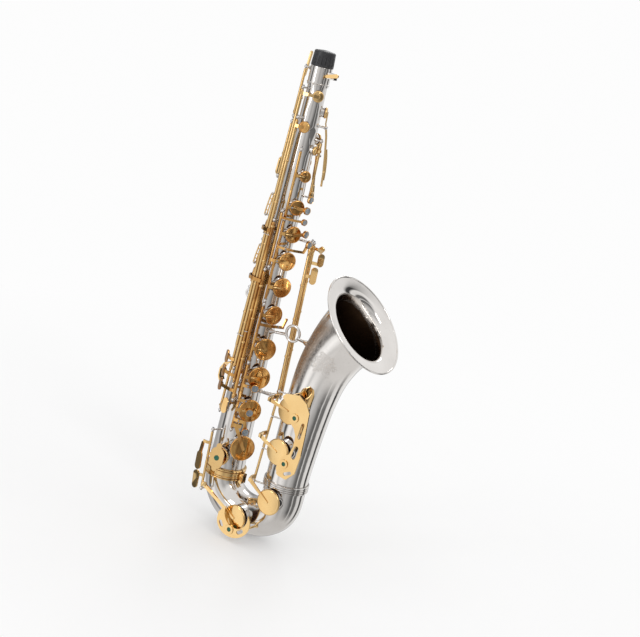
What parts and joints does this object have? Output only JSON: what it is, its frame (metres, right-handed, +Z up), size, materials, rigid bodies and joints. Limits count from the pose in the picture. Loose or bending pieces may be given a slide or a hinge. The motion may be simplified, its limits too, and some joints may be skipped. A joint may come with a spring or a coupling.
{
  "type": "tenor saxophone body",
  "caption": "Curved conical brass tube with an upturned flared bell, stacked pad cups on long hinge rods, finger touches, key guards and a plugged neck socket.",
  "frame": {"origin": "centre of the neck socket, on the axis of the body tube", "axes": "+Z up along the body tube, +X towards the bell, +Y towards the player's left side"},
  "size_m": [0.2824, 0.1592, 0.752],
  "materials": {
    "key_d": "polished gold lacquer",
    "pad_d": "dark brown leather",
    "key_e": "polished gold lacquer",
    "pad_e": "dark brown leather",
    "key_f": "polished gold lacquer",
    "pad_f": "dark brown leather",
    "key_fs": "polished gold lacquer",
    "pad_fs": "dark brown leather",
    "key_gs": "polished gold lacquer",
    "pad_gs": "dark brown leather",
    "key_g": "polished gold lacquer",
    "pad_g": "dark brown leather",
    "key_a": "polished gold lacquer",
    "key_b": "polished gold lacquer",
    "key_c": "polished gold lacquer",
    "key_bis": "polished gold lacquer",
    "key_front_f": "polished gold lacquer",
    "key_side_bb": "polished gold lacquer",
    "key_side_c": "polished gold lacquer",
    "key_side_e": "polished gold lacquer",
    "key_high_fs": "polished gold lacquer",
    "key_palm_f": "polished gold lacquer",
    "key_palm_eb": "polished gold lacquer",
    "key_palm_d": "polished gold lacquer",
    "key_octave": "polished gold lacquer",
    "key_octave_neck": "polished gold lacquer",
    "key_table_b": "polished gold lacquer",
    "key_table_bb": "polished gold lacquer",
    "key_table_cs": "polished gold lacquer",
    "key_low_b": "polished gold lacquer",
    "pad_low_b": "dark brown leather",
    "key_low_bb": "polished gold lacquer",
    "pad_low_bb": "dark brown leather",
    "key_low_cs": "polished gold lacquer",
    "pad_low_cs": "dark brown leather",
    "key_eb": "polished gold lacquer",
    "pad_eb": "dark brown leather",
    "key_low_c": "polished gold lacquer",
    "pad_low_c": "dark brown leather",
    "body_tube": "polished nickel plate",
    "bow": "polished nickel plate",
    "bell": "polished nickel plate",
    "neck_receiver": "polished nickel plate",
    "neck_screw": "polished gold lacquer",
    "end_plug": "black moulded plastic",
    "body_bow_band": "polished gold lacquer",
    "band_screws": "polished gold lacquer",
    "bell_ring": "polished nickel plate",
    "bell_brace": "polished nickel plate",
    "strap_ring": "polished nickel plate",
    "thumb_hook": "polished gold lacquer",
    "thumb_rest": "black moulded plastic",
    "guard_eb": "polished gold lacquer",
    "guard_low_c": "polished gold lacquer",
    "guard_bell": "polished gold lacquer",
    "bumper_felts": "green felt",
    "posts_body": "polished nickel plate",
    "posts_bow": "polished nickel plate",
    "posts_bell": "polished nickel plate",
    "hinge_rods": "blued steel"
  },
  "bodies": {
    "body": {"body_tube": "body_tube", "bow": "bow", "bell": "bell", "neck_receiver": "neck_receiver", "body_bow_band": "body_bow_band", "band_screws": "band_screws", "bell_ring": "bell_ring", "bell_brace": "bell_brace", "strap_ring": "strap_ring", "thumb_hook": "thumb_hook", "thumb_rest": "thumb_rest", "guard_eb": "guard_eb", "guard_low_c": "guard_low_c", "guard_bell": "guard_bell", "bumper_felts": "bumper_felts", "posts_body": "posts_body", "posts_bow": "posts_bow", "posts_bell": "posts_bell", "hinge_rods": "hinge_rods"},
    "key_d": {"key_d": "key_d", "pad_d": "pad_d"},
    "key_e": {"key_e": "key_e", "pad_e": "pad_e"},
    "key_f": {"key_f": "key_f", "pad_f": "pad_f"},
    "key_fs": {"key_fs": "key_fs", "pad_fs": "pad_fs"},
    "key_gs": {"key_gs": "key_gs", "pad_gs": "pad_gs"},
    "key_g": {"key_g": "key_g", "pad_g": "pad_g"},
    "key_a": {"key_a": "key_a"},
    "key_b": {"key_b": "key_b"},
    "key_c": {"key_c": "key_c"},
    "key_bis": {"key_bis": "key_bis"},
    "key_front_f": {"key_front_f": "key_front_f"},
    "key_side_bb": {"key_side_bb": "key_side_bb"},
    "key_side_c": {"key_side_c": "key_side_c"},
    "key_side_e": {"key_side_e": "key_side_e"},
    "key_high_fs": {"key_high_fs": "key_high_fs"},
    "key_palm_f": {"key_palm_f": "key_palm_f"},
    "key_palm_eb": {"key_palm_eb": "key_palm_eb"},
    "key_palm_d": {"key_palm_d": "key_palm_d"},
    "key_octave": {"key_octave": "key_octave"},
    "key_octave_neck": {"key_octave_neck": "key_octave_neck"},
    "key_table_b": {"key_table_b": "key_table_b"},
    "key_table_bb": {"key_table_bb": "key_table_bb"},
    "key_table_cs": {"key_table_cs": "key_table_cs"},
    "key_low_b": {"key_low_b": "key_low_b", "pad_low_b": "pad_low_b"},
    "key_low_bb": {"key_low_bb": "key_low_bb", "pad_low_bb": "pad_low_bb"},
    "key_low_cs": {"key_low_cs": "key_low_cs", "pad_low_cs": "pad_low_cs"},
    "key_eb": {"key_eb": "key_eb", "pad_eb": "pad_eb"},
    "key_low_c": {"key_low_c": "key_low_c", "pad_low_c": "pad_low_c"},
    "clamp_screw": {"neck_screw": "neck_screw"},
    "plug": {"end_plug": "end_plug"}
  },
  "joints": [
    {"name": "d_close", "type": "hinge", "parent": "body", "child": "key_d", "pos_m": [0.01556, -0.03495, -0.5585], "axis": [0.0044, 0.0315, 0.9995], "range_deg": [0, 8.98], "stiffness_Nm_per_rad": 0.6},
    {"name": "e_close", "type": "hinge", "parent": "body", "child": "key_e", "pos_m": [0.01556, -0.03495, -0.5585], "axis": [0.0044, 0.0315, 0.9995], "range_deg": [0, 8.98], "stiffness_Nm_per_rad": 0.6},
    {"name": "f_close", "type": "hinge", "parent": "body", "child": "key_f", "pos_m": [0.01556, -0.03495, -0.5585], "axis": [0.0044, 0.0315, 0.9995], "range_deg": [0, 8.98], "stiffness_Nm_per_rad": 0.6},
    {"name": "fs_close", "type": "hinge", "parent": "body", "child": "key_fs", "pos_m": [0.01556, -0.03495, -0.5585], "axis": [0.0044, 0.0315, 0.9995], "range_deg": [0, 8.98], "stiffness_Nm_per_rad": 0.6},
    {"name": "gs_open", "type": "hinge", "parent": "body", "child": "key_gs", "pos_m": [0.01556, -0.03495, -0.5585], "axis": [-0.0044, -0.0315, -0.9995], "range_deg": [0, 8], "stiffness_Nm_per_rad": 0.6},
    {"name": "g_close", "type": "hinge", "parent": "body", "child": "key_g", "pos_m": [0.01639, -0.02839, -0.3485], "axis": [-0.0129, 0.0224, 0.9997], "range_deg": [0, 7.48], "stiffness_Nm_per_rad": 0.6},
    {"name": "a_close", "type": "hinge", "parent": "body", "child": "key_a", "pos_m": [0.01639, -0.02839, -0.3485], "axis": [-0.0129, 0.0224, 0.9997], "range_deg": [0, 7.98], "stiffness_Nm_per_rad": 0.6},
    {"name": "b_close", "type": "hinge", "parent": "body", "child": "key_b", "pos_m": [0.01639, -0.02839, -0.3485], "axis": [-0.0129, 0.0224, 0.9997], "range_deg": [0, 7.98], "stiffness_Nm_per_rad": 0.6},
    {"name": "c_close", "type": "hinge", "parent": "body", "child": "key_c", "pos_m": [0.01639, -0.02839, -0.3485], "axis": [-0.0129, 0.0224, 0.9997], "range_deg": [0, 7.98], "stiffness_Nm_per_rad": 0.6},
    {"name": "bis_close", "type": "hinge", "parent": "body", "child": "key_bis", "pos_m": [0.01027, -0.02984, -0.2965], "axis": [-0.0077, 0.0224, 0.9997], "range_deg": [0, 6.98], "stiffness_Nm_per_rad": 0.6},
    {"name": "front_f_open", "type": "hinge", "parent": "body", "child": "key_front_f", "pos_m": [0.02549, 0.01135, -0.1845], "axis": [-0.0269, -0.012, 0.9996], "range_deg": [0, 8], "stiffness_Nm_per_rad": 0.6},
    {"name": "side_bb_open", "type": "hinge", "parent": "body", "child": "key_side_bb", "pos_m": [0.00677, -0.03655, -0.5125], "axis": [-0.006, 0.0254, 0.9997], "range_deg": [0, 8], "stiffness_Nm_per_rad": 0.6},
    {"name": "side_c_open", "type": "hinge", "parent": "body", "child": "key_side_c", "pos_m": [0.00077, -0.0366, -0.4885], "axis": [-0.0015, 0.0256, 0.9997], "range_deg": [0, 8], "stiffness_Nm_per_rad": 0.6},
    {"name": "side_e_open", "type": "hinge", "parent": "body", "child": "key_side_e", "pos_m": [-0.00502, -0.03568, -0.4645], "axis": [-0.002, -0.0262, -0.9997], "range_deg": [0, 8], "stiffness_Nm_per_rad": 0.6},
    {"name": "high_fs_open", "type": "hinge", "parent": "body", "child": "key_high_fs", "pos_m": [-0.0126, -0.03558, -0.5365], "axis": [-0.007, -0.0258, -0.9996], "range_deg": [0, 7], "stiffness_Nm_per_rad": 0.6},
    {"name": "palm_f_open", "type": "hinge", "parent": "body", "child": "key_palm_f", "pos_m": [0.02303, 0.01384, -0.0775], "axis": [-0.515, 0.8572, 0], "range_deg": [0, 5], "stiffness_Nm_per_rad": 0.6},
    {"name": "palm_eb_open", "type": "hinge", "parent": "body", "child": "key_palm_eb", "pos_m": [0.01135, 0.0255, -0.1215], "axis": [-0.9135, 0.4067, 0], "range_deg": [0, 8], "stiffness_Nm_per_rad": 0.6},
    {"name": "palm_d_open", "type": "hinge", "parent": "body", "child": "key_palm_d", "pos_m": [-0.00401, 0.02855, -0.1605], "axis": [-0.9903, -0.1392, 0], "range_deg": [0, 8], "stiffness_Nm_per_rad": 0.6},
    {"name": "octave_open", "type": "hinge", "parent": "body", "child": "key_octave", "pos_m": [-0.02577, -0.00938, -0.1645], "axis": [0.0278, 0.0101, 0.9996], "range_deg": [0, 8], "stiffness_Nm_per_rad": 0.6},
    {"name": "octave_neck_open", "type": "hinge", "parent": "body", "child": "key_octave_neck", "pos_m": [-0.02324, -0.00846, -0.0719], "axis": [0.0147, 0.0053, 0.9999], "range_deg": [0, 5], "stiffness_Nm_per_rad": 0.6},
    {"name": "table_b_press", "type": "hinge", "parent": "body", "child": "key_table_b", "pos_m": [0.0535, 0.014, -0.4985], "axis": [0.0302, -0.004, -0.9995], "range_deg": [0, 5.5], "stiffness_Nm_per_rad": 0.6},
    {"name": "table_bb_press", "type": "hinge", "parent": "body", "child": "key_table_bb", "pos_m": [0.0535, 0.0225, -0.4985], "axis": [0.0302, -0.002, -0.9995], "range_deg": [0, 5.5], "stiffness_Nm_per_rad": 0.6},
    {"name": "table_cs_press", "type": "hinge", "parent": "body", "child": "key_table_cs", "pos_m": [0.0455, 0.03, -0.4985], "axis": [0.0302, 0, -0.9995], "range_deg": [0, 5], "stiffness_Nm_per_rad": 0.6},
    {"name": "low_b_close", "type": "hinge", "parent": "body", "child": "key_low_b", "pos_m": [0.07, -0.022, -0.6245], "axis": [0.04, 0, 0.9992], "range_deg": [0, 5.48], "stiffness_Nm_per_rad": 0.6},
    {"name": "low_bb_close", "type": "hinge", "parent": "body", "child": "key_low_bb", "pos_m": [0.07, -0.022, -0.6245], "axis": [0.04, 0, 0.9992], "range_deg": [0, 5.48], "stiffness_Nm_per_rad": 0.6},
    {"name": "low_cs_open", "type": "hinge", "parent": "body", "child": "key_low_cs", "pos_m": [0.07, -0.022, -0.6245], "axis": [-0.04, 0, -0.9992], "range_deg": [0, 5], "stiffness_Nm_per_rad": 0.6},
    {"name": "eb_open", "type": "hinge", "parent": "body", "child": "key_eb", "pos_m": [-0.006, -0.046, -0.6645], "axis": [0.0623, -0.0364, -0.9974], "range_deg": [0, 7], "stiffness_Nm_per_rad": 0.6},
    {"name": "low_c_close", "type": "hinge", "parent": "body", "child": "key_low_c", "pos_m": [-0.006, -0.046, -0.6645], "axis": [-0.0623, 0.0364, 0.9974], "range_deg": [0, 4.48], "stiffness_Nm_per_rad": 0.6},
    {"name": "plug_lift", "type": "slide", "parent": "body", "child": "plug", "axis": [0, 0, 1], "range_m": [0, 0.06], "stiffness_N_per_m": 60},
    {"name": "clamp_screw_turn", "type": "hinge", "parent": "body", "child": "clamp_screw", "pos_m": [0.0236, 0, -0.0015], "axis": [0, 1, 0], "range_deg": [-90, 90], "stiffness_Nm_per_rad": 0.05}
  ],
  "couplings": [
    {"joint": "fs_close", "follows": "f_close", "ratio": 0.999},
    {"joint": "low_b_close", "follows": "table_b_press", "ratio": 0.9954},
    {"joint": "low_bb_close", "follows": "table_bb_press", "ratio": 0.9954},
    {"joint": "low_cs_open", "follows": "table_cs_press", "ratio": 0.999},
    {"joint": "octave_neck_open", "follows": "octave_open", "ratio": 0.6244}
  ]
}
